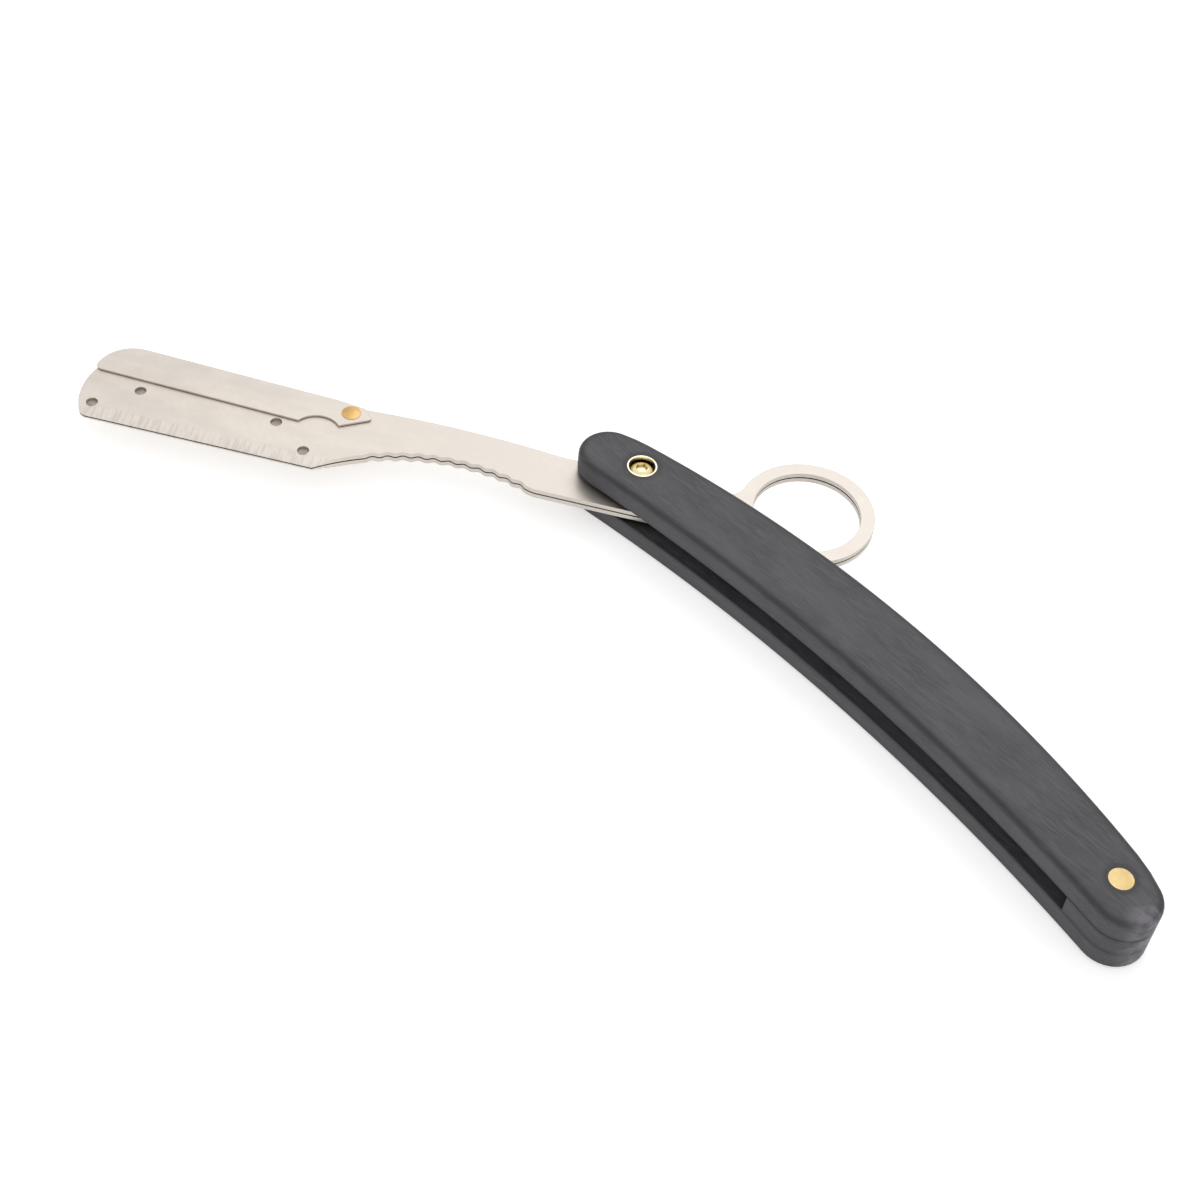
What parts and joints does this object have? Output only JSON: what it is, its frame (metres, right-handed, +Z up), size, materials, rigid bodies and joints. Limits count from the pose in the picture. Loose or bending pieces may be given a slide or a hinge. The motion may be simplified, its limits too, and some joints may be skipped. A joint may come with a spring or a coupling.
{
  "type": "straight razor",
  "caption": "Folding barber razor: black wood handle, two-leaf steel arm with finger ring, and a swing lock that holds half of a double-edge blade.",
  "frame": {"origin": "on the arm's pivot axis, in the plane that the lower scale rests on", "axes": "+X from the pivot to the butt pin, +Y towards the handle's convex back, +Z up along the pivot axis"},
  "size_m": [0.2168, 0.1078, 0.0126],
  "materials": {
    "black_wood": "oiled laminated wood, near black, fine lengthwise grain",
    "black_fibre": "dark fibre, sanded flush",
    "satin_steel": "tumbled satin stainless",
    "ground_steel": "satin stainless sheet",
    "satin_brass": "sanded brass",
    "polished_brass": "polished brass",
    "bright_cup": "polished thin sheet"
  },
  "bodies": {
    "handle": {"upper_scale": "black_wood", "lower_scale": "black_wood", "butt_spacer": "black_fibre", "butt_pin": "satin_brass", "pivot_screw": "polished_brass", "pivot_barrel": "polished_brass", "upper_cup": "bright_cup", "lower_cup": "bright_cup", "upper_washer": "satin_brass", "lower_washer": "satin_brass"},
    "arm": {"upper_leaf": "satin_steel", "lower_leaf": "satin_steel", "leaf_shims": "ground_steel", "lock_rivet": "satin_brass"},
    "lock": {"swing_lock": "satin_steel"}
  },
  "joints": [
    {"name": "arm_pivot", "type": "hinge", "parent": "handle", "child": "arm", "pos_m": [0, 0, 0.0063], "axis": [0, 0, 1], "range_deg": [-130, 140]},
    {"name": "lock_swing", "type": "hinge", "parent": "arm", "child": "lock", "pos_m": [-0.0483, -0.03267, 0.0063], "axis": [0, 0, 1], "range_deg": [-90, 0]}
  ]
}
